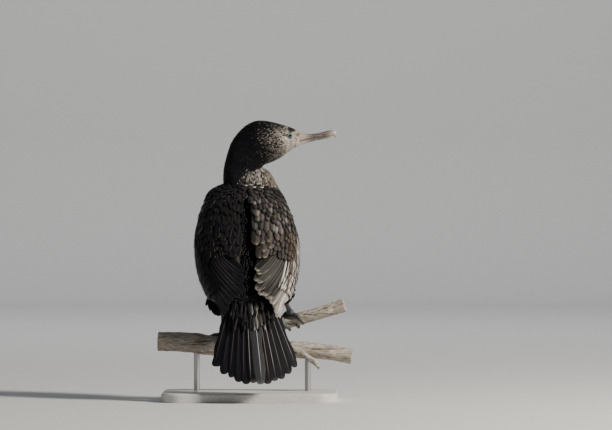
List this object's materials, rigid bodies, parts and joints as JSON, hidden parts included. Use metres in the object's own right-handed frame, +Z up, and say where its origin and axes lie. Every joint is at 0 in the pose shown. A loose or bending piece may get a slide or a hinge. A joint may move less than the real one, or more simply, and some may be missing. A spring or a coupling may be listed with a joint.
{
  "type": "perched cormorant display model",
  "caption": "Life-size still model of a small dark cormorant, wings folded and fanned tail hanging, head turned aside, gripping a forked cut branch held on rods over a flat base.",
  "frame": {"origin": "centre of the underside of the stand's base", "axes": "+Z up, +Y the way the bird's breast faces, so the camera looks along +Y at its back; +X the bird's right, where its bill points"},
  "size_m": [0.2655, 0.236, 0.3786],
  "materials": {
    "plumage": "dark brown-black body feathers with a faint green and blue sheen",
    "speckled": "small head and neck feathers, dark at the nape and mottled cream and brown at the throat",
    "vanes": "flight and tail feathers, dark with paler edges and shafts",
    "horn": "satin grey-brown horn with a pale tip",
    "iris": "wet teal eye",
    "leg_skin": "fine scaled black skin",
    "bark": "dry weathered bark",
    "stand": "plain pale display base",
    "steel": "brushed rods"
  },
  "bodies": {
    "root": {"torso": "plumage", "neck": "speckled", "head": "speckled", "bill_upper": "horn", "bill_lower": "horn", "eye_right": "iris", "eye_left": "iris", "wing_right": "vanes", "wing_left": "vanes", "tail": "vanes", "thigh_right": "plumage", "leg_right": "leg_skin", "foot_right": "leg_skin", "thigh_left": "plumage", "leg_left": "leg_skin", "foot_left": "leg_skin", "perch_limb": "bark", "perch_fork": "bark", "perch_twig": "bark", "stand_base": "stand", "stand_rod_left": "steel", "stand_rod_right": "steel"}
  },
  "joints": []
}
